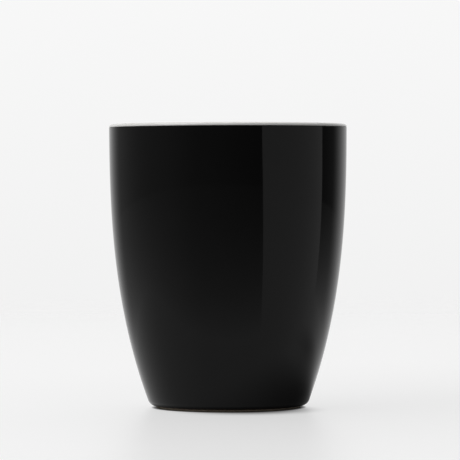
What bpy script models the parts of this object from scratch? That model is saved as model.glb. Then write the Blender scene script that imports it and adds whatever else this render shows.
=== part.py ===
"""A two-tone stoneware mug without a handle.

One fired clay body carries three coats of glaze: a white liner that covers the inside and runs over the lip, a black
coat on the outside that stops at the foot, and a black coat in the recess under the floor. The ring that the mug
stands on stays bare clay. Everything is turned round the mug's axis, which is Z. Metres, +Z up, the table is z = 0.
"""

import math

import bmesh
import bpy

# Driving dimensions of the mug, over the glaze
HEIGHT = 0.1000  # table to the crest of the lip
RIM_DIAMETER = 0.0839  # where the lip starts to round over
HEEL_DIAMETER = 0.05706  # where the flank turns under to the foot
HEEL_HEIGHT = 0.0027  # table to the place where the flank turns under
GLAZE_LINE = 0.0007  # table to the lowest black glaze
RIM_FLARE = 0.00058  # how far the flank leans out between heel and rim apart from its curve
FLANK_POWER = 2.66  # how late the flank curves in: 2 is a parabola, more keeps the upper wall straighter

# The lip, a half ellipse that the white liner covers
LIP_THICKNESS = 0.0030
LIP_RISE = 0.00105  # height of the rounding, and of the white band that shows outside

# The inside
HEEL_WALL = 0.0054  # wall at the level of the inside floor
FLOOR_LEVEL = 0.0078  # table to the inside floor
CORNER_RISE = 0.0080  # height over which the inside wall sweeps into the floor

# The underside
RING_WIDTH = 0.0030  # the bare ring, from its outer to its inner wall
RING_CHAMFER = 0.00035  # the ring's fettled edges
RECESS_DEPTH = 0.0022  # table to the glazed roof of the recess
COVE_RADIUS = 0.0016  # rounding between the recess's roof and the ring

# The coats
COAT = 0.00035  # thickness of a glaze
BOND_GAP = 0.0001  # clearance between a coat and what it lies on or meets
BED = COAT + BOND_GAP  # how far the clay lies under the glazed surface

# Facets
SEGMENTS = 54
FLANK_STEPS = 11
BORE_STEPS = 8
LIP_STEPS = 8
CORNER_STEPS = 6
HEEL_STEPS = 4
COVE_STEPS = 4
WELD_DISTANCE = 1e-6
SHARP_ANGLE = math.radians(35)

# Levels and radii that follow from the driving dimensions
LIP_LEVEL = HEIGHT - LIP_RISE
LIP_CENTRE = RIM_DIAMETER / 2 - LIP_THICKNESS / 2
CORNER_LEVEL = FLOOR_LEVEL + CORNER_RISE
DOWN = -math.pi / 2


def flank(z):
    """Radius of the outside at height z, and its slope: the growth of the radius for each metre of height."""
    run = LIP_LEVEL - HEEL_HEIGHT
    depth = (LIP_LEVEL - z) / run
    curve = (RIM_DIAMETER - HEEL_DIAMETER) / 2 - RIM_FLARE
    radius = RIM_DIAMETER / 2 - RIM_FLARE * depth - curve * depth**FLANK_POWER
    slope = (RIM_FLARE + curve * FLANK_POWER * depth ** (FLANK_POWER - 1)) / run
    return radius, slope


def bore(z):
    """Radius of the inside at height z, and its slope. The wall grows evenly from the lip down to the floor."""
    growth = (HEEL_WALL - LIP_THICKNESS) / (LIP_LEVEL - FLOOR_LEVEL)
    radius, slope = flank(z)
    return radius - LIP_THICKNESS - growth * (LIP_LEVEL - z), slope + growth


def wall_point(line, z, outwards):
    """A point of the flank or the bore at height z, moved square to the wall: outwards is negative towards the axis."""
    radius, slope = line(z)
    lean = math.atan(slope)
    return radius + outwards * math.cos(lean), z - outwards * math.sin(lean)


def wall(line, low, high, steps, outwards):
    """Points up a wall line, without its two ends."""
    heights = [low + (high - low) * i / steps for i in range(1, steps)]
    return [wall_point(line, z, outwards) for z in heights]


def sweep(line, height, level):
    """Centre, radius and first angle of the arc that leaves a wall line at a height and lands flat at a level."""
    radius, slope = line(height)
    lean = math.atan(slope)
    arc_radius = (height - level) / (1 - math.sin(lean))
    centre = (radius - arc_radius * math.cos(lean), level + arc_radius)
    return centre, arc_radius, -lean


def arc(centre, wide, high, first, last, steps):
    """Points of an elliptical arc, both ends included."""
    angles = [first + (last - first) * i / steps for i in range(steps + 1)]
    return [(centre[0] + wide * math.cos(a), centre[1] + high * math.sin(a)) for a in angles]


def inside_line(depth):
    """The inside from the middle of the floor up to the lip, at a depth under the glazed surface."""
    centre, radius, start = sweep(bore, CORNER_LEVEL, FLOOR_LEVEL)
    corner = arc(centre, radius + depth, radius + depth, DOWN, start, CORNER_STEPS)
    return [(0, FLOOR_LEVEL - depth)] + corner + wall(bore, CORNER_LEVEL, LIP_LEVEL, BORE_STEPS, depth)


def lip_line(depth):
    """The lip from its inner to its outer side, at a depth under the glazed surface."""
    centre = (LIP_CENTRE, LIP_LEVEL)
    return arc(centre, LIP_THICKNESS / 2 - depth, LIP_RISE - depth, math.pi, 0, LIP_STEPS)


def outside_line(depth):
    """The outside from just under the lip down to the glaze line, at a depth under the glazed surface."""
    centre, radius, start = sweep(flank, HEEL_HEIGHT, GLAZE_LINE)
    heel = arc(centre, radius - depth, radius - depth, start, DOWN, HEEL_STEPS)
    return wall(flank, HEEL_HEIGHT, LIP_LEVEL, FLANK_STEPS, -depth)[::-1] + heel


def ring_radii():
    """Outer and inner radius of the bare ring. Its outer wall stands just inside the end of the black coat."""
    heel_centre = sweep(flank, HEEL_HEIGHT, GLAZE_LINE)[0]
    outer = heel_centre[0] - BOND_GAP
    return outer, outer - RING_WIDTH


def ring_line():
    """The bare ring, from its outer wall under the heel to its inner wall."""
    outer, inner = ring_radii()
    return [
        (outer, GLAZE_LINE + BED),
        (outer, RING_CHAMFER),
        (outer - RING_CHAMFER, 0),
        (inner + RING_CHAMFER, 0),
        (inner, RING_CHAMFER),
    ]


def recess_line(depth):
    """The recess from the ring's inner wall up to its roof and in to the axis, at a depth under the glazed surface."""
    centre = (ring_radii()[1] - BED - COVE_RADIUS, RECESS_DEPTH - COVE_RADIUS)
    cove = arc(centre, COVE_RADIUS + depth, COVE_RADIUS + depth, 0, -DOWN, COVE_STEPS)
    return cove + [(0, RECESS_DEPTH + depth)]


def clay_outline():
    """The fired body: the same form as the glazed mug, one bed further in, with the bare ring under it."""
    return inside_line(BED) + lip_line(BED) + outside_line(BED) + ring_line() + recess_line(BED)


def liner_outline():
    """The white coat, from the middle of the floor up the inside and over the lip."""
    face = inside_line(0) + lip_line(0)
    back = inside_line(COAT) + lip_line(COAT)
    return face + back[::-1]


def outer_outline():
    """The black coat, from the white lip down to the glaze line."""
    top = LIP_LEVEL - BOND_GAP
    face = [wall_point(flank, top, 0)] + outside_line(0)
    back = [(wall_point(flank, top, -COAT)[0], top)] + outside_line(COAT)
    return face + back[::-1]


def base_outline():
    """The black coat in the recess under the floor."""
    return recess_line(0) + recess_line(COAT)[::-1]


def turn(name, outline, finish):
    """Spins an outline of (radius, height) points round the axis into one closed solid."""
    form = bmesh.new()
    corners = [form.verts.new((radius, 0, height)) for radius, height in outline]
    edges = [form.edges.new(pair) for pair in zip(corners, corners[1:])]
    if outline[0][0] > 0 and outline[-1][0] > 0:
        edges.append(form.edges.new((corners[-1], corners[0])))
    bmesh.ops.spin(
        form, geom=corners + edges, cent=(0, 0, 0), axis=(0, 0, 1), angle=2 * math.pi, steps=SEGMENTS
    )
    bmesh.ops.remove_doubles(form, verts=form.verts, dist=WELD_DISTANCE)
    bmesh.ops.recalc_face_normals(form, faces=form.faces)
    mesh = bpy.data.meshes.new(name)
    form.to_mesh(mesh)
    form.free()
    mesh.shade_smooth()
    mesh.set_sharp_from_angle(angle=SHARP_ANGLE)
    mesh.materials.append(finish)
    piece = bpy.data.objects.new(name, mesh)
    bpy.context.scene.collection.objects.link(piece)
    return piece


def fired(name, colour, roughness):
    """A fired, non-metallic surface."""
    material = bpy.data.materials.new(name)
    material.use_nodes = True
    shader = material.node_tree.nodes["Principled BSDF"]
    shader.inputs["Base Color"].default_value = (*colour, 1)
    shader.inputs["Roughness"].default_value = roughness
    shader.inputs["Metallic"].default_value = 0
    return material


def capacity():
    """Volume inside the liner up to the crest of the lip, in litres, as a stack of cones."""
    line = inside_line(0) + lip_line(0)[: LIP_STEPS // 2 + 1]
    cones = zip(line, line[1:])
    return 1000 * sum(math.pi * (z2 - z1) * (a * a + a * b + b * b) / 3 for (a, z1), (b, z2) in cones)


def main():
    for leftover in list(bpy.data.objects):
        bpy.data.objects.remove(leftover)

    mug = bpy.data.objects.new("mug", None)
    bpy.context.scene.collection.objects.link(mug)
    pieces = [
        turn("clay_body", clay_outline(), fired("bare_stoneware", (0.62, 0.57, 0.50), 0.75)),
        turn("liner_glaze", liner_outline(), fired("white_gloss_glaze", (0.80, 0.80, 0.78), 0.12)),
        turn("outer_glaze", outer_outline(), fired("black_gloss_glaze", (0.008, 0.008, 0.008), 0.06)),
        turn("base_glaze", base_outline(), fired("black_base_glaze", (0.010, 0.010, 0.010), 0.10)),
    ]
    for piece in pieces:
        piece.parent = mug
    print(f"mug holds {capacity():.3f} l to the brim")


main()
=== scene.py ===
# %% [markdown]
# # A two-tone mug without a handle
#
# This lesson dresses a imported CAD mug. The mug is one fired stoneware body under three coats of glaze:
# gloss black outside, gloss white inside and over the lip, and black again in the hollow under the floor.
# Only the ring that it stands on is bare clay. Every length is in metres, Z is up, and the table is at
# height 0.
#
# The frame holds the mug's four CAD nodes. It is read first, and its box is kept, because the mug's
# overall sizes come from it.

# %% Load the frame
import math

import bpy
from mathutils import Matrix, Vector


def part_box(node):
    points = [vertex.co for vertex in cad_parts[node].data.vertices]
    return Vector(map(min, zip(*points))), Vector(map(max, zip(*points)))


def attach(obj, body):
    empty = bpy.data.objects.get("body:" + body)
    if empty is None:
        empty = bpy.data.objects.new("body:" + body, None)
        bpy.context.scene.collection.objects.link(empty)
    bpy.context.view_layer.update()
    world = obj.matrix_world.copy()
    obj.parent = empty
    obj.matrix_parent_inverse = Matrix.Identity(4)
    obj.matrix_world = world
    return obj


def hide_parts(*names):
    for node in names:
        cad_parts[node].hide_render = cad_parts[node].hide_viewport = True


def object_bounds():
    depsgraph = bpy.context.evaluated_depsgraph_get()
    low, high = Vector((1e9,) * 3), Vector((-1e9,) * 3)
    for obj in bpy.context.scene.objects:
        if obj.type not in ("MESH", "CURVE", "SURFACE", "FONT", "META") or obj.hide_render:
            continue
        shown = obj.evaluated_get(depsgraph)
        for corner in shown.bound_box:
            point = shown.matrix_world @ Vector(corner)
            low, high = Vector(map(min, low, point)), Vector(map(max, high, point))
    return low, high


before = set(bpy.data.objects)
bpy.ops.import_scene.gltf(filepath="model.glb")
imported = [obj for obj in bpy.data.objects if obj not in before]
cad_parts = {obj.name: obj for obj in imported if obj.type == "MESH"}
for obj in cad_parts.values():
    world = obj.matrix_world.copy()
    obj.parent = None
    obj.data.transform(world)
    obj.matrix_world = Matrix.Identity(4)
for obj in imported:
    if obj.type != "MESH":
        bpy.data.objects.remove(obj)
cad_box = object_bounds()
BODY = "root"
print("nodes:", sorted(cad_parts))

# %% [markdown]
# ## The camera
#
# The mug is seen from the side through a long lens, a little below the level of its rim: the front of the
# lip bows up and the front of the foot bows down. How much each of them bows gives the camera's height
# and distance, and the mug's height in the picture then gives the lens.

# %% Camera
CAMERA_DISTANCE = 1.107
CAMERA_HEIGHT = 0.080
CAMERA_ASIDE = 0.00064
CAMERA_PITCH = math.radians(-0.90)
CAMERA_ROLL = math.radians(-0.17)
PHOTO_SIDE_PX = 460
FOCAL_LENGTH_PX = 3134
SENSOR_MM = 36.0

bpy.ops.object.camera_add(location=(CAMERA_ASIDE, -CAMERA_DISTANCE, CAMERA_HEIGHT))
camera = bpy.context.object
camera.name = "camera"
camera.rotation_mode = "ZXY"
camera.rotation_euler = (math.pi / 2 + CAMERA_PITCH, 0, CAMERA_ROLL)
camera.data.sensor_width = SENSOR_MM
camera.data.lens = SENSOR_MM * FOCAL_LENGTH_PX / PHOTO_SIDE_PX
bpy.context.scene.camera = camera
bpy.context.scene.view_settings.view_transform = "Standard"
print(f"lens {camera.data.lens:.0f} mm")

# %% [markdown]
# ## Small tools for materials
#
# Colours are written as the hex values that a picture editor shows. Blender's sockets take linear light,
# so one function converts them. Nodes could be placed and wired line by line, but a tree is easier to
# read when one call makes a node with all that goes into it. An input is a plain value or another node's
# output.


# %% Colour and node tools
def linear(hex_colour):
    """An sRGB hex colour as linear red, green, blue and alpha."""
    channels = [int(hex_colour[i : i + 2], 16) / 255 for i in (1, 3, 5)]
    return [c / 12.92 if c <= 0.04045 else ((c + 0.055) / 1.055) ** 2.4 for c in channels] + [1.0]


def plug(node, inputs):
    """Sets a node's inputs: a value is written on its socket, and an output socket is linked to it."""
    for name, value in inputs.items():
        if isinstance(value, bpy.types.NodeSocket):
            node.id_data.links.new(value, node.inputs[name])
        else:
            node.inputs[name].default_value = value


def add_node(tree, kind, inputs=None, **settings):
    """Adds a node with its settings and its inputs."""
    made = tree.nodes.new(kind)
    for name, value in settings.items():
        setattr(made, name, value)
    plug(made, inputs or {})
    return made


def new_material(name):
    """A material with its node tree and its Principled shader."""
    material = bpy.data.materials.new(name)
    material.use_nodes = True
    return material, material.node_tree, material.node_tree.nodes["Principled BSDF"]


print(f"mid grey is {linear('#808080')[0]:.3f} in linear light")

# %% [markdown]
# ## The studio floor
#
# The mug stands on a pale floor that runs into the background without a line. A real one is a sheet of
# white acrylic on a light table. Here it is a disc. Most of its brightness is a glow of its own, so its
# base colour is only a mid grey, and a little gloss mirrors the dark mug in front of its foot.

# %% Floor sheet
FLOOR_RADIUS = 1.2
FLOOR_SIDES = 96
FLOOR_COLOUR = "#6c6c6c"
FLOOR_ROUGHNESS = 0.4
FLOOR_SPECULAR = 0.15

bpy.ops.object.select_all(action="DESELECT")
bpy.ops.mesh.primitive_circle_add(vertices=FLOOR_SIDES, radius=FLOOR_RADIUS, fill_type="NGON")
floor = bpy.context.object
floor.name = "studio_floor"
white_sheet, tree, shader = new_material("white_acrylic_sheet")
plug(
    shader,
    {
        "Base Color": linear(FLOOR_COLOUR),
        "Roughness": FLOOR_ROUGHNESS,
        "Specular IOR Level": FLOOR_SPECULAR,
        "Emission Color": linear("#ffffff"),
    },
)
floor.data.materials.append(white_sheet)
print("floor", FLOOR_RADIUS * 2, "m across")

# %% [markdown]
# ## The floor's glow
#
# The glow is dimmed by soft shades. The camera sees one in front of the foot and a wide one on the right,
# away from the lights, and the glaze mirrors two on the right of the heel. The gap under the heel is dark
# too, because little light gets in. Lamps could give them, but a sheet that glows has hardly any shadow,
# so they are painted on the glow, by their distance from a place. The gap is ambient occlusion with a
# short reach, and a shorter one for the camera, so that no dark line runs out past the heel.

# %% Floor glow
SEEN_GLOW = 0.66
MIRRORED_GLOW = 0.60
SEEN_GAP_REACH = 0.0011
MIRRORED_GAP_REACH = 0.0021
GAP_SHADE_POWER = 2.2
GAP_SHADE_SAMPLES = 16
FRONT_SHADE = {"place": (0.006, -0.014, 0.0), "core": 0.006, "edge": 0.030, "left": 0.0}
WIDE_SHADE = {"place": (0.12, 0.0, 0.0), "core": 0.0, "edge": 0.30, "left": 0.92}
HEEL_SHADE = {"place": (0.027, 0.0, 0.0), "core": 0.010, "edge": 0.056, "left": 0.08}
SIDE_SHADE = {"place": (0.085, 0.005, 0.0), "core": 0.0, "edge": 0.045, "left": 0.5}


def shade(tree, where, glow, place, core, edge, left):
    """Dims a glow round a place: a share of it is left in the core, and all of it outside the edge."""
    away = add_node(tree, "ShaderNodeVectorMath", {0: where, 1: place}, operation="DISTANCE")
    share = add_node(
        tree,
        "ShaderNodeMapRange",
        {"Value": away.outputs["Value"], "From Min": core, "From Max": edge, "To Min": left},
        interpolation_type="SMOOTHSTEP",
    )
    return add_node(tree, "ShaderNodeMath", {0: glow, 1: share.outputs[0]}, operation="MULTIPLY").outputs[0]


where = add_node(tree, "ShaderNodeTexCoord").outputs["Object"]
from_camera = add_node(tree, "ShaderNodeLightPath").outputs["Is Camera Ray"]
seen_glow = shade(tree, where, shade(tree, where, SEEN_GLOW, **WIDE_SHADE), **FRONT_SHADE)
mirrored_glow = shade(tree, where, shade(tree, where, MIRRORED_GLOW, **HEEL_SHADE), **SIDE_SHADE)
open_glow = add_node(tree, "ShaderNodeMix", {"Factor": from_camera, "A": mirrored_glow, "B": seen_glow})
gap_reach = add_node(
    tree, "ShaderNodeMix", {"Factor": from_camera, "A": MIRRORED_GAP_REACH, "B": SEEN_GAP_REACH}
)
open_sky = add_node(
    tree,
    "ShaderNodeAmbientOcclusion",
    {"Distance": gap_reach.outputs[0]},
    samples=GAP_SHADE_SAMPLES,
)
gap = add_node(tree, "ShaderNodeMath", {0: open_sky.outputs["AO"], 1: GAP_SHADE_POWER}, operation="POWER")
glow = add_node(tree, "ShaderNodeMath", {0: gap.outputs[0], 1: open_glow.outputs[0]}, operation="MULTIPLY")
plug(shader, {"Emission Strength": glow.outputs[0]})
print("floor glow", SEEN_GLOW)

# %% [markdown]
# ## The floor's fade
#
# Far from the mug the sheet fades out, so that no edge shows. In the glaze it fades much sooner: the
# lower half of the mug mirrors a long pool of light on either side of the foot, and the upper half
# mirrors the dim room. A long backdrop sheet would need a bend, and the bend would show in the glaze, so
# a fade is simpler.

# %% Floor fade
SEEN_FADE = (0.45, 1.1)
POOL_RADIUS = 0.08
POOL_FALLOFF = 1.1
POOL_SQUEEZE = (0.4, 1.0, 1.0)

reach = add_node(tree, "ShaderNodeVectorMath", {0: where}, operation="LENGTH").outputs["Value"]
seen_fade = add_node(
    tree,
    "ShaderNodeMapRange",
    {"Value": reach, "From Min": SEEN_FADE[0], "From Max": SEEN_FADE[1]},
    interpolation_type="SMOOTHSTEP",
)
squeezed = add_node(tree, "ShaderNodeVectorMath", {0: where, 1: POOL_SQUEEZE}, operation="MULTIPLY")
oval = add_node(tree, "ShaderNodeVectorMath", {0: squeezed.outputs[0]}, operation="LENGTH").outputs["Value"]
nearness = add_node(tree, "ShaderNodeMath", {0: POOL_RADIUS, 1: oval}, operation="DIVIDE", use_clamp=True)
pool = add_node(tree, "ShaderNodeMath", {0: nearness.outputs[0], 1: POOL_FALLOFF}, operation="POWER")
pool_fade = add_node(tree, "ShaderNodeMath", {0: 1.0, 1: pool.outputs[0]}, operation="SUBTRACT")
fade = add_node(
    tree,
    "ShaderNodeMix",
    {"Factor": from_camera, "A": pool_fade.outputs[0], "B": seen_fade.outputs["Result"]},
)
clear = add_node(tree, "ShaderNodeBsdfTransparent")
faded_sheet = add_node(
    tree, "ShaderNodeMixShader", {0: fade.outputs[0], 1: shader.outputs[0], 2: clear.outputs[0]}
)
plug(tree.nodes["Material Output"], {"Surface": faded_sheet.outputs[0]})
print(white_sheet.name, len(tree.nodes), "nodes")

# %% [markdown]
# ## The backdrop
#
# Behind the mug the camera sees a white backdrop that is a little brighter towards the top. A painted
# wall would need a light of its own, so the backdrop is a smooth ramp in the world, by the height that a
# ray looks at.

# %% Backdrop
BACKDROP_LOW = 0.875
BACKDROP_HIGH = 0.955
BACKDROP_LEVELS = (-0.06, 0.10)

world = bpy.data.worlds.new("studio")
bpy.context.scene.world = world
world.use_nodes = True
tree = world.node_tree
looking = add_node(tree, "ShaderNodeTexCoord").outputs["Generated"]
level = add_node(tree, "ShaderNodeSeparateXYZ", {0: looking}).outputs["Z"]
backdrop = add_node(
    tree,
    "ShaderNodeMapRange",
    {
        "Value": level,
        "From Min": BACKDROP_LEVELS[0],
        "From Max": BACKDROP_LEVELS[1],
        "To Min": BACKDROP_LOW,
        "To Max": BACKDROP_HIGH,
    },
)
print("backdrop from", BACKDROP_LOW, "to", BACKDROP_HIGH)

# %% [markdown]
# ## The room in the glaze
#
# A black glaze is a mirror, so most of what the eye sees on it is the room. This room is dim on the
# camera's side, bright behind the mug, which lights both edges of the mug, and lighter on the left than
# on the right. Walls could be built for it, but two soft patches of light in the world do the same.

# %% Room
ROOM_GLOW = 0.175
ROOM_SIDE = (-0.085, 0.0, 0.0)
BEHIND = {"towards": (0.06, 1.0, 0.0), "edge": 55, "core": 20, "strength": 0.55}
LEFT_WALL = {"towards": (-0.99, -0.05, 0.0), "edge": 60, "core": 10, "strength": 0.10}


def bright_patch(tree, looking, base, towards, edge, core, strength):
    """Adds a bright part to the room: full inside the core, gone outside the edge, both in degrees."""
    facing = add_node(tree, "ShaderNodeVectorMath", {0: looking, 1: towards}, operation="DOT_PRODUCT")
    patch = add_node(
        tree,
        "ShaderNodeMapRange",
        {
            "Value": facing.outputs["Value"],
            "From Min": math.cos(math.radians(edge)),
            "From Max": math.cos(math.radians(core)),
            "To Max": strength,
        },
        interpolation_type="SMOOTHSTEP",
    )
    return add_node(tree, "ShaderNodeMath", {0: patch.outputs["Result"], 1: base}).outputs[0]


slope = add_node(tree, "ShaderNodeVectorMath", {0: looking, 1: ROOM_SIDE}, operation="DOT_PRODUCT")
room = add_node(tree, "ShaderNodeMath", {0: slope.outputs["Value"], 1: ROOM_GLOW}).outputs[0]
room = bright_patch(tree, looking, room, **BEHIND)
room = bright_patch(tree, looking, room, **LEFT_WALL)
from_camera = add_node(tree, "ShaderNodeLightPath").outputs["Is Camera Ray"]
surroundings = add_node(
    tree, "ShaderNodeMix", {"Factor": from_camera, "A": room, "B": backdrop.outputs["Result"]}
)
plug(tree.nodes["Background"], {"Color": surroundings.outputs[0]})
print("world", len(tree.nodes), "nodes")

# %% [markdown]
# ## Lights
#
# Three softboxes light the white glaze. One hangs behind and above the mug, one hangs above it a little
# to the left and shines into it, and one stands high at the front left and brightens that side of the
# lip. They are area lights, which the camera doesn't see. Their power is worked out from their size, so
# that a larger box isn't a brighter one.

# %% Lights
BACK_BOX = {"place": (-0.05, 0.62, 1.20), "size": (1.3, 1.0), "radiance": 1.5}
TOP_BOX = {"place": (-0.30, 0.05, 1.15), "size": (0.8, 0.8), "radiance": 1.6}
LEFT_BOX = {"place": (-0.73, -0.42, 0.78), "size": (0.6, 0.6), "radiance": 2.4}
LIGHT_TARGET = (0.0, 0.0, 0.04)


def soft_light(name, place, size, radiance):
    """A rectangular light that shines towards the mug."""
    away = [a - b for a, b in zip(place, LIGHT_TARGET)]
    turn = math.atan2(away[0], -away[1])
    tilt = math.atan2(math.hypot(away[0], away[1]), away[2])
    bpy.ops.object.light_add(type="AREA", location=place, rotation=(tilt, 0, turn))
    made = bpy.context.object
    made.name = name
    made.data.shape = "RECTANGLE"
    made.data.size, made.data.size_y = size
    made.data.energy = radiance * math.pi * size[0] * size[1]
    print(f"{name} {made.data.energy:.1f} W")


soft_light("back_softbox", **BACK_BOX)
soft_light("top_softbox", **TOP_BOX)
soft_light("left_softbox", **LEFT_BOX)

# %% [markdown]
# ## The card on the right
#
# The upright band on the glaze is the mirror image of a large white card on the right. It runs on below
# the middle of the mug, because the floor mirrors the card too, so here the card reaches down below the
# floor and is seen through its fade. A light wouldn't do, because what stands behind a light shows
# through it. The card is a plane that glows evenly. It shows only in gloss: the camera doesn't see it, it
# casts no shadow, and it lights nothing that is matt.

# %% Card
CARD_PLACE = (0.797, -0.294, -0.125)
CARD_SIZE = (1.15, 0.97)
CARD_TURN = math.radians(68)
CARD_LEAN = math.radians(-12)
CARD_RADIANCE = 0.72

bpy.ops.object.select_all(action="DESELECT")
bpy.ops.mesh.primitive_plane_add(
    size=1, location=CARD_PLACE, rotation=(math.pi / 2, CARD_LEAN, CARD_TURN)
)
card = bpy.context.object
card.name = "right_card"
card.scale = (CARD_SIZE[0], CARD_SIZE[1], 1)
card.visible_camera = card.visible_shadow = card.visible_diffuse = False
card_paper, _, shader = new_material("white_card")
plug(
    shader,
    {
        "Base Color": linear("#000000"),
        "Specular IOR Level": 0.0,
        "Emission Color": linear("#ffffff"),
        "Emission Strength": CARD_RADIANCE,
    },
)
card.data.materials.append(card_paper)
print("card", CARD_SIZE[0], "by", CARD_SIZE[1], "m")

# %% [markdown]
# ## The mug's sizes
#
# The overall sizes come from the frame. The rest are what a potter's template would have: how the wall
# leans and thickens, how the lip rounds, and how the foot ring and the hollow inside it are turned. The
# coats lie on the clay with a hair's gap, as separate pieces do.

# %% Sizes
HEIGHT = cad_box[1].z
RIM_RADIUS = cad_box[1].x
GLAZE_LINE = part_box("outer_glaze")[0].z
HEEL_RADIUS = 0.02853
HEEL_HEIGHT = 0.0027
RIM_FLARE = 0.00058
FLANK_POWER = 2.66
LIP_THICKNESS = 0.0030
LIP_RISE = 0.00105
HEEL_WALL = 0.0054
FLOOR_LEVEL = 0.0078
CORNER_RISE = 0.0080
RING_WIDTH = 0.0030
RING_CHAMFER = 0.00035
RECESS_DEPTH = 0.0022
COVE_RADIUS = 0.0016
COAT = 0.00035
BOND_GAP = 0.0001
BED = COAT + BOND_GAP
LIP_LEVEL = HEIGHT - LIP_RISE
CORNER_LEVEL = FLOOR_LEVEL + CORNER_RISE
print(f"mug {HEIGHT * 1000:.1f} mm tall, {RIM_RADIUS * 2000:.1f} mm across the rim")

# %% [markdown]
# ## The wall
#
# A thrown or jiggered mug is round, so its whole form is one section. Its outside is nearly upright under
# the lip and curves in faster and faster towards the foot. Arcs could be strung together for that, but a
# power curve gives it with one number. The inside follows it, with a wall that grows thicker towards the
# floor.


# %% Wall curves
def flank(z):
    """Radius of the outside at height z, and its slope."""
    run = LIP_LEVEL - HEEL_HEIGHT
    depth = max(0.0, (LIP_LEVEL - z) / run)
    curve = RIM_RADIUS - HEEL_RADIUS - RIM_FLARE
    radius = RIM_RADIUS - RIM_FLARE * depth - curve * depth**FLANK_POWER
    return radius, (RIM_FLARE + curve * FLANK_POWER * depth ** (FLANK_POWER - 1)) / run


def bore(z):
    """Radius of the inside at height z, and its slope."""
    growth = (HEEL_WALL - LIP_THICKNESS) / (LIP_LEVEL - FLOOR_LEVEL)
    radius, slope = flank(z)
    return radius - LIP_THICKNESS - growth * (LIP_LEVEL - z), slope + growth


def wall(line, low, high, steps, outwards):
    """Points up a wall without its ends, moved square to it: outwards is negative towards the axis."""
    points = []
    for i in range(1, steps):
        z = low + (high - low) * i / steps
        radius, slope = line(z)
        lean = math.atan(slope)
        points.append((radius + outwards * math.cos(lean), z - outwards * math.sin(lean)))
    return points


half_way = HEIGHT / 2
print(f"wall {1000 * (flank(half_way)[0] - bore(half_way)[0]):.1f} mm thick half way up")

# %% [markdown]
# ## The rounded corners
#
# Where a wall meets a flat face, a potter's rib or sponge leaves a round corner. A bevel could make it
# later, but a corner that is part of the section keeps the same centre for the clay and for the coat on
# it. The arc starts along the wall and lands flat.

# %% Corner arcs
DOWN = -math.pi / 2
UP = math.pi / 2


def sweep(line, height, level):
    """Centre, radius and first angle of an arc that leaves a wall at a height and lands flat at a level."""
    radius, slope = line(height)
    lean = math.atan(slope)
    arc_radius = (height - level) / (1 - math.sin(lean))
    return (radius - arc_radius * math.cos(lean), level + arc_radius), arc_radius, -lean


def arc(centre, wide, high, first, last, steps):
    """Points of an elliptical arc, both ends included."""
    angles = [first + (last - first) * i / steps for i in range(steps + 1)]
    return [(centre[0] + wide * math.cos(a), centre[1] + high * math.sin(a)) for a in angles]


RING_OUTER = sweep(flank, HEEL_HEIGHT, GLAZE_LINE)[0][0] - BOND_GAP
RING_INNER = RING_OUTER - RING_WIDTH
print(f"foot ring {RING_OUTER * 2000:.1f} mm across")

# %% [markdown]
# ## The section, line by line
#
# Four lines make the section: the inside, the lip, the outside and the recess under the floor. Each takes
# a depth, so that the same line gives the glazed surface at depth 0 and the clay under it one bed deeper.
# The clay's ring, which no coat covers, is the fifth.

# %% Section lines
FLOOR_SHARES = (0, 0.35, 0.7)
ROOF_SHARES = (0.6, 0.3, 0)
CORNER_STEPS, BORE_STEPS, LIP_STEPS = 14, 26, 20
FLANK_STEPS, HEEL_STEPS, COVE_STEPS = 40, 10, 10


def inside_line(depth):
    """From the middle of the floor up to the lip."""
    centre, radius, start = sweep(bore, CORNER_LEVEL, FLOOR_LEVEL)
    floor_rings = [(centre[0] * share, FLOOR_LEVEL - depth) for share in FLOOR_SHARES]
    corner = arc(centre, radius + depth, radius + depth, DOWN, start, CORNER_STEPS)
    return floor_rings + corner + wall(bore, CORNER_LEVEL, LIP_LEVEL, BORE_STEPS, depth)


def lip_line(depth):
    """Over the lip from its inner to its outer side."""
    centre = (RIM_RADIUS - LIP_THICKNESS / 2, LIP_LEVEL)
    return arc(centre, LIP_THICKNESS / 2 - depth, LIP_RISE - depth, math.pi, 0, LIP_STEPS)


def outside_line(depth):
    """From under the lip down to the glaze line."""
    centre, radius, start = sweep(flank, HEEL_HEIGHT, GLAZE_LINE)
    heel = arc(centre, radius - depth, radius - depth, start, DOWN, HEEL_STEPS)
    return wall(flank, HEEL_HEIGHT, LIP_LEVEL, FLANK_STEPS, -depth)[::-1] + heel


def recess_line(depth):
    """From the ring's inner wall up to the roof of the recess and in to the axis."""
    centre = (RING_INNER - BED - COVE_RADIUS, RECESS_DEPTH - COVE_RADIUS)
    cove = arc(centre, COVE_RADIUS + depth, COVE_RADIUS + depth, 0, UP, COVE_STEPS)
    return cove + [(centre[0] * share, RECESS_DEPTH + depth) for share in ROOF_SHARES]


ring_line = [
    (RING_OUTER, GLAZE_LINE + BED),
    (RING_OUTER, RING_CHAMFER),
    (RING_OUTER - RING_CHAMFER, 0),
    (RING_INNER + RING_CHAMFER, 0),
    (RING_INNER, RING_CHAMFER),
]
print(len(inside_line(0)), "rings inside and", len(outside_line(0)), "outside")

# %% [markdown]
# ## Raising a wall ring by ring
#
# By hand, a round pot starts as a circle. It is extruded up and resized, again and again, as a potter
# pulls a wall. A lathe modifier would do it too, but rings that are pulled one by one can follow any
# section. Where the section starts or ends on the axis, a fan of triangles closes the ring, so no pole is
# left open.

# %% Ring by ring
SEGMENTS = 160


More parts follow.
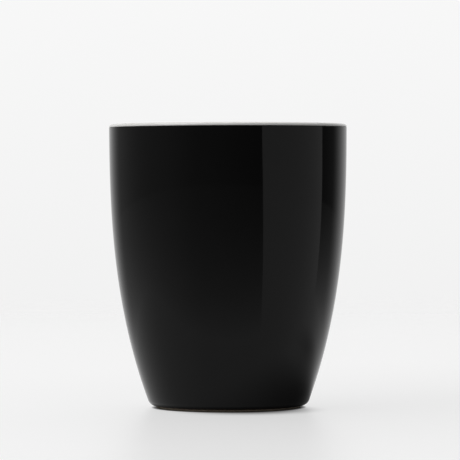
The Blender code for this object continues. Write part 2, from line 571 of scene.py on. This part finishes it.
def raise_rings(name, line):
    """Extrudes and resizes a circle along (radius, height) points into a round skin."""
    from_axis, to_axis = line[0][0] == 0, line[-1][0] == 0
    rings = [point for point in line if point[0] > 0]
    radius, level = rings[0]
    bpy.ops.object.select_all(action="DESELECT")
    bpy.ops.mesh.primitive_circle_add(
        vertices=SEGMENTS, radius=radius, fill_type="TRIFAN" if from_axis else "NOTHING"
    )
    piece = bpy.context.object
    piece.name = piece.data.name = name
    bpy.ops.object.mode_set(mode="EDIT")
    bpy.ops.mesh.select_mode(type="EDGE")
    bpy.ops.transform.translate(value=(0, 0, level))
    if from_axis:
        bpy.ops.mesh.select_all(action="DESELECT")
        bpy.ops.mesh.select_non_manifold(use_wire=False, use_multi_face=False, use_verts=False)
    for new_radius, new_level in rings[1:]:
        bpy.ops.mesh.extrude_region_move(TRANSFORM_OT_translate={"value": (0, 0, new_level - level)})
        scale = new_radius / radius
        bpy.ops.transform.resize(value=(scale, scale, 1), center_override=(0, 0, new_level))
        radius, level = new_radius, new_level
    if to_axis:
        bpy.ops.mesh.edge_face_add()
        bpy.ops.mesh.poke()
    bpy.ops.mesh.select_all(action="SELECT")
    bpy.ops.mesh.normals_make_consistent(inside=False)
    bpy.ops.object.mode_set(mode="OBJECT")
    bpy.ops.object.shade_smooth()
    return piece


print("each ring has", SEGMENTS, "points")

# %% [markdown]
# ## Thickness, edges and place
#
# A coat is a skin with a thickness, and no edge on a fired pot is sharp: clay edges are sponged and glaze
# edges melt round. Modifiers give both and are applied. The bevel keeps the shading of the walls beside
# an edge, or the gloss there would ripple. A finished piece then takes the place of its CAD node.

# %% Finishing tools
EDGE_ROUND = 0.00010
EDGE_ANGLE = math.radians(35)
EDGE_SEGMENTS = 3


def finish_with(piece, kind, **settings):
    """Adds a modifier with its settings and applies it."""
    modifier = piece.modifiers.new(kind.title(), kind)
    for name, value in settings.items():
        setattr(modifier, name, value)
    bpy.ops.object.modifier_apply(modifier=modifier.name)


def round_edges(piece):
    """Rounds the sharp edges a little."""
    bpy.ops.object.shade_smooth_by_angle(angle=EDGE_ANGLE)
    finish_with(
        piece,
        "BEVEL",
        width=EDGE_ROUND,
        segments=EDGE_SEGMENTS,
        limit_method="ANGLE",
        angle_limit=EDGE_ANGLE,
        harden_normals=True,
    )


def coat(name, line):
    """A coat of glaze whose outer face follows a line."""
    piece = raise_rings(name, line)
    finish_with(piece, "SOLIDIFY", thickness=COAT, offset=-1, use_even_offset=True)
    round_edges(piece)
    return piece


def dress(piece, node, material, slot):
    """Gives a piece its finish, and puts it in its CAD node's place."""
    piece.data.materials.append(material)
    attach(piece, BODY)
    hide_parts(node)
    print(piece.name, len(piece.data.polygons), "faces of", slot)


print(f"edges are rounded by {EDGE_ROUND * 1000:.1f} mm")

# %% [markdown]
# ## The skin of a melted glaze
#
# A glaze is glass that melted on the clay and levelled itself. It isn't as flat as window glass: it has a
# slow swell of about 13 mm, a fine orange peel of about 2 mm, and patches that melted a little glossier
# than others. A roughness alone would blur the mirrored room evenly, so two stacked bumps and an uneven
# roughness are used. All of that is faint, so a mirrored card keeps its straight edges.

# %% Melted skin
SWELL_SIZE, SWELL_HEIGHT = 0.013, 0.000020
PEEL_SIZE, PEEL_HEIGHT = 0.0018, 0.0000006
# A noise pattern keeps mostly to this range.
NOISE_LOW, NOISE_HIGH = 0.35, 0.65


def melted_relief(tree, where):
    """A slow swell under a fine orange peel."""
    swell = add_node(tree, "ShaderNodeTexNoise", {"Vector": where, "Scale": 1 / SWELL_SIZE, "Detail": 0})
    peel = add_node(tree, "ShaderNodeTexNoise", {"Vector": where, "Scale": 1 / PEEL_SIZE, "Detail": 1})
    waves = add_node(tree, "ShaderNodeBump", {"Height": swell.outputs[0], "Distance": SWELL_HEIGHT})
    skin = add_node(
        tree,
        "ShaderNodeBump",
        {"Height": peel.outputs[0], "Distance": PEEL_HEIGHT, "Normal": waves.outputs[0]},
    )
    return skin.outputs[0]


def melted_gloss(tree, where, patch_size, roughness):
    """An uneven gloss, in patches."""
    melt = add_node(tree, "ShaderNodeTexNoise", {"Vector": where, "Scale": 1 / patch_size, "Detail": 2})
    gloss = add_node(
        tree,
        "ShaderNodeMapRange",
        {
            "Value": melt.outputs[0],
            "From Min": NOISE_LOW,
            "From Max": NOISE_HIGH,
            "To Min": roughness[0],
            "To Max": roughness[1],
        },
    )
    return gloss.outputs[0]


print(f"swell {SWELL_SIZE * 1000:.0f} mm, orange peel {PEEL_SIZE * 1000:.1f} mm")

# %% [markdown]
# ## A coat of glass
#
# Both glazes are the same kind of glass, and differ in their colour and in how evenly they melted. One
# function makes the material, and the colour comes from a function of its own, because each glaze gets
# its tones in another way. The refractive index is that of glass.

# %% Glaze
GLAZE_IOR = 1.5


def glaze(name, tone, patch_size, roughness, specular):
    """Glossy glass on clay: a mirror at a low angle, and the glaze's own tone face on."""
    material, tree, shader = new_material(name)
    where = add_node(tree, "ShaderNodeTexCoord").outputs["Object"]
    plug(
        shader,
        {
            "Base Color": tone(tree, where),
            "Roughness": melted_gloss(tree, where, patch_size, roughness),
            "Normal": melted_relief(tree, where),
            "IOR": GLAZE_IOR,
            "Specular IOR Level": specular,
        },
    )
    print(material.name, len(tree.nodes), "nodes")
    return material


print("glaze with a refractive index of", GLAZE_IOR)

# %% [markdown]
# ## Black gloss glaze
#
# The outside is a black stoneware glaze, glass coloured with iron, manganese and cobalt. A plain black
# would be near, but a real one is deeper where it pooled, and where it thins at its lower edge it breaks
# to brown. Its mirror image is dim in the photo, so its specular level is set under that of plain glass.

# %% Black glaze
BLACK_POOLED = "#030303"
BLACK_THIN = "#090909"
BLACK_CLOUD = 0.018
BROWN_BREAK = "#2b1d14"
BREAK_REACH = 0.0006
BLACK_MELT = 0.006
BLACK_ROUGHNESS = (0.03, 0.055)
BLACK_SPECULAR = 0.18
# A Mix node has sockets for numbers, vectors and colours. These are the places of its colour sockets.
COLOUR_A, COLOUR_B, COLOUR_OUT = 6, 7, 2


def black_tone(tree, where):
    """Nearly black, in clouds, and brown where the glaze is thin at its lower edge."""
    cloud = add_node(tree, "ShaderNodeTexNoise", {"Vector": where, "Scale": 1 / BLACK_CLOUD, "Detail": 3})
    pooled = add_node(
        tree,
        "ShaderNodeMix",
        {"Factor": cloud.outputs[0], COLOUR_A: linear(BLACK_POOLED), COLOUR_B: linear(BLACK_THIN)},
        data_type="RGBA",
    )
    level = add_node(tree, "ShaderNodeSeparateXYZ", {0: where}).outputs["Z"]
    thin = add_node(
        tree,
        "ShaderNodeMapRange",
        {"Value": level, "From Min": GLAZE_LINE + BREAK_REACH, "From Max": GLAZE_LINE},
    )
    tone = add_node(
        tree,
        "ShaderNodeMix",
        {"Factor": thin.outputs[0], COLOUR_A: pooled.outputs[COLOUR_OUT], COLOUR_B: linear(BROWN_BREAK)},
        data_type="RGBA",
    )
    return tone.outputs[COLOUR_OUT]


black_gloss = glaze("black_gloss_glaze", black_tone, BLACK_MELT, BLACK_ROUGHNESS, BLACK_SPECULAR)

# %% [markdown]
# ## The outer coat
#
# The black glaze covers the outside from under the white lip to just above the table, where it was wiped
# off before the firing so that the mug wouldn't stick to the kiln shelf. It could be one skin with the
# clay and a second colour, but a coat of its own has a real edge at the wiped line. It is pulled down
# ring by ring along the outside line and given the thickness of a dipped coat.

# %% Outer coat
outer_coat = coat("outer_coat", [(RIM_RADIUS, LIP_LEVEL - BOND_GAP)] + outside_line(0))
dress(outer_coat, "outer_glaze", black_gloss, "black_gloss_glaze")

# %% [markdown]
# ## White gloss glaze
#
# The inside and the lip wear a white glaze, opaque with tin or zircon. A plain white would do from afar.
# Close by, such a glaze is a little uneven in tone, thins on the crest of the lip until the clay warms
# it, and pools in the corner round the floor, where it is thicker and cooler.

# %% White glaze
WHITE = "#f2f2f0"
WHITE_UNEVEN = "#ecebe8"
WHITE_CLOUD = 0.022
WHITE_THIN = "#e8e1d5"
CREST_REACH, CREST_SHARE = 0.00035, 0.6
WHITE_POOLED = "#e9eeef"
POOL_HEIGHT, POOL_SHARE = 0.007, 0.8
WHITE_MELT = 0.0073
WHITE_ROUGHNESS = (0.06, 0.10)
WHITE_SPECULAR = 0.5


def white_tone(tree, where):
    """Opaque white, a little uneven, warm on the crest of the lip and cool where it pooled."""
    cloud = add_node(tree, "ShaderNodeTexNoise", {"Vector": where, "Scale": 1 / WHITE_CLOUD, "Detail": 3})
    patchy = add_node(
        tree,
        "ShaderNodeMapRange",
        {"Value": cloud.outputs[0], "From Min": NOISE_LOW, "From Max": NOISE_HIGH},
    )
    uneven = add_node(
        tree,
        "ShaderNodeMix",
        {"Factor": patchy.outputs[0], COLOUR_A: linear(WHITE), COLOUR_B: linear(WHITE_UNEVEN)},
        data_type="RGBA",
    )
    level = add_node(tree, "ShaderNodeSeparateXYZ", {0: where}).outputs["Z"]
    crest = add_node(
        tree,
        "ShaderNodeMapRange",
        {"Value": level, "From Min": HEIGHT - CREST_REACH, "From Max": HEIGHT, "To Max": CREST_SHARE},
    )
    warmed = add_node(
        tree,
        "ShaderNodeMix",
        {"Factor": crest.outputs[0], COLOUR_A: uneven.outputs[COLOUR_OUT], COLOUR_B: linear(WHITE_THIN)},
        data_type="RGBA",
    )
    pool_top = FLOOR_LEVEL + POOL_HEIGHT
    depth = add_node(
        tree,
        "ShaderNodeMapRange",
        {"Value": level, "From Min": pool_top, "From Max": FLOOR_LEVEL, "To Max": POOL_SHARE},
    )
    tone = add_node(
        tree,
        "ShaderNodeMix",
        {"Factor": depth.outputs[0], COLOUR_A: warmed.outputs[COLOUR_OUT], COLOUR_B: linear(WHITE_POOLED)},
        data_type="RGBA",
    )
    return tone.outputs[COLOUR_OUT]


white_gloss = glaze("white_gloss_glaze", white_tone, WHITE_MELT, WHITE_ROUGHNESS, WHITE_SPECULAR)

# %% [markdown]
# ## The white liner
#
# The liner is poured in, swilled round and poured out, and then the lip is dipped, so one coat runs from
# the middle of the floor up the wall and over the lip to the black. Two coats would leave a seam inside
# the lip, which such a mug doesn't have. Its rings start on the axis and end on the outer side of the
# lip.

# %% White liner
liner_coat = coat("liner_coat", inside_line(0) + lip_line(0))
dress(liner_coat, "liner_glaze", white_gloss, "white_gloss_glaze")

# %% [markdown]
# ## The base coat
#
# Under the floor is a shallow hollow, so that the mug stands on a ring and not on its whole bottom. The
# hollow is glazed too, to keep water out of the clay. It has the same black glaze, but the bare ring
# parts it from the outer coat, so it is a piece of its own with a finish of its own.

# %% Base coat
base_coat = coat("base_coat", recess_line(0))
black_base = glaze("black_base_glaze", black_tone, BLACK_MELT, BLACK_ROUGHNESS, BLACK_SPECULAR)
dress(base_coat, "base_glaze", black_base, "black_base_glaze")

# %% [markdown]
# ## The colour of bare stoneware
#
# Fired stoneware without glaze is a grey-buff clay with darker grit and a few dark specks of iron, and
# the face that stands on the table is rubbed darker. A plain grey would pass from afar, but this ring is
# what shows when the mug is turned over. The grit is a noise of 0.4 mm, and the specks are the middles of
# cells that are 1.4 mm apart, both real sizes.

# %% Stoneware colour
CLAY = "#a99d8d"
CLAY_DARK = "#918472"
RUBBED = "#857b6d"
RUBBED_REACH, RUBBED_SHARE = 0.00006, 0.7
IRON = "#4c3a2b"
SPECK_SPACING = 0.0014
SPECK_CORE, SPECK_EDGE = 0.00009, 0.00016


def stoneware_tone(tree, where, grit):
    """Grey-buff clay with grit and iron specks, rubbed darker under the foot."""
    clay = add_node(
        tree,
        "ShaderNodeMix",
        {"Factor": grit, COLOUR_A: linear(CLAY), COLOUR_B: linear(CLAY_DARK)},
        data_type="RGBA",
    )
    level = add_node(tree, "ShaderNodeSeparateXYZ", {0: where}).outputs["Z"]
    rubbing = add_node(
        tree,
        "ShaderNodeMapRange",
        {"Value": level, "From Min": RUBBED_REACH, "From Max": 0, "To Max": RUBBED_SHARE},
    )
    worn = add_node(
        tree,
        "ShaderNodeMix",
        {"Factor": rubbing.outputs[0], COLOUR_A: clay.outputs[COLOUR_OUT], COLOUR_B: linear(RUBBED)},
        data_type="RGBA",
    )
    cells = add_node(tree, "ShaderNodeTexVoronoi", {"Vector": where, "Scale": 1 / SPECK_SPACING})
    core, edge = SPECK_CORE / SPECK_SPACING, SPECK_EDGE / SPECK_SPACING
    speck = add_node(
        tree,
        "ShaderNodeMapRange",
        {"Value": cells.outputs["Distance"], "From Min": edge, "From Max": core},
    )
    tone = add_node(
        tree,
        "ShaderNodeMix",
        {"Factor": speck.outputs[0], COLOUR_A: worn.outputs[COLOUR_OUT], COLOUR_B: linear(IRON)},
        data_type="RGBA",
    )
    return tone.outputs[COLOUR_OUT]


print(f"iron specks {SPECK_EDGE * 2000:.1f} mm across, {SPECK_SPACING * 1000:.1f} mm apart")

# %% [markdown]
# ## Bare stoneware
#
# To the touch the clay is dry and a little rough, with faint rings from the wet sponge that wiped the
# foot while it turned. The rings could be cut into the mesh, but they are only 0.5 mm apart and a few
# thousandths of a millimetre deep, so they are a bump, like the grit.

# %% Stoneware
GRIT_SIZE, GRIT_HEIGHT = 0.0004, 0.000018
SPONGE_SPACING, SPONGE_HEIGHT = 0.0005, 0.000006
SPONGE_WANDER = 0.6
CLAY_ROUGHNESS = (0.72, 0.90)
# A wave texture of scale 1 repeats 20 times in 2 pi units.
WAVE_REPEAT = 2 * math.pi / 20


def bare_stoneware(name):
    """Unglazed fired clay: matt, gritty and speckled, with wiping rings and a rubbed foot."""
    material, tree, shader = new_material(name)
    where = add_node(tree, "ShaderNodeTexCoord").outputs["Object"]
    noise = add_node(tree, "ShaderNodeTexNoise", {"Vector": where, "Scale": 1 / GRIT_SIZE, "Detail": 2})
    grit = add_node(
        tree,
        "ShaderNodeMapRange",
        {"Value": noise.outputs[0], "From Min": NOISE_LOW, "From Max": NOISE_HIGH},
    ).outputs[0]
    dryness = add_node(
        tree,
        "ShaderNodeMapRange",
        {"Value": grit, "To Min": CLAY_ROUGHNESS[0], "To Max": CLAY_ROUGHNESS[1]},
    )
    sponge = add_node(
        tree,
        "ShaderNodeTexWave",
        {"Vector": where, "Scale": WAVE_REPEAT / SPONGE_SPACING, "Distortion": SPONGE_WANDER},
        wave_type="RINGS",
        rings_direction="Z",
    )
    wiped = add_node(
        tree, "ShaderNodeBump", {"Height": sponge.outputs["Fac"], "Distance": SPONGE_HEIGHT}
    )
    gritty = add_node(
        tree,
        "ShaderNodeBump",
        {"Height": noise.outputs[0], "Distance": GRIT_HEIGHT, "Normal": wiped.outputs[0]},
    )
    plug(
        shader,
        {
            "Base Color": stoneware_tone(tree, where, grit),
            "Roughness": dryness.outputs[0],
            "Normal": gritty.outputs[0],
        },
    )
    print(material.name, len(tree.nodes), "nodes")
    return material


stoneware = bare_stoneware("bare_stoneware")

# %% [markdown]
# ## The clay form
#
# The clay is the piece that everything else lies on. Its section follows the same lines, one coat and a
# hair's gap deeper, and only the ring is left bare: a low wall with fettled edges, so that it doesn't
# scratch the table. The lines are joined into one closed section, from the middle of the floor over the
# lip and down to the middle of the recess, so the form needs no joining afterwards.

# %% Clay form
clay_line = inside_line(BED) + lip_line(BED) + outside_line(BED) + ring_line + recess_line(BED)
clay_form = raise_rings("clay_form", clay_line)
round_edges(clay_form)
dress(clay_form, "clay_body", stoneware, "bare_stoneware")
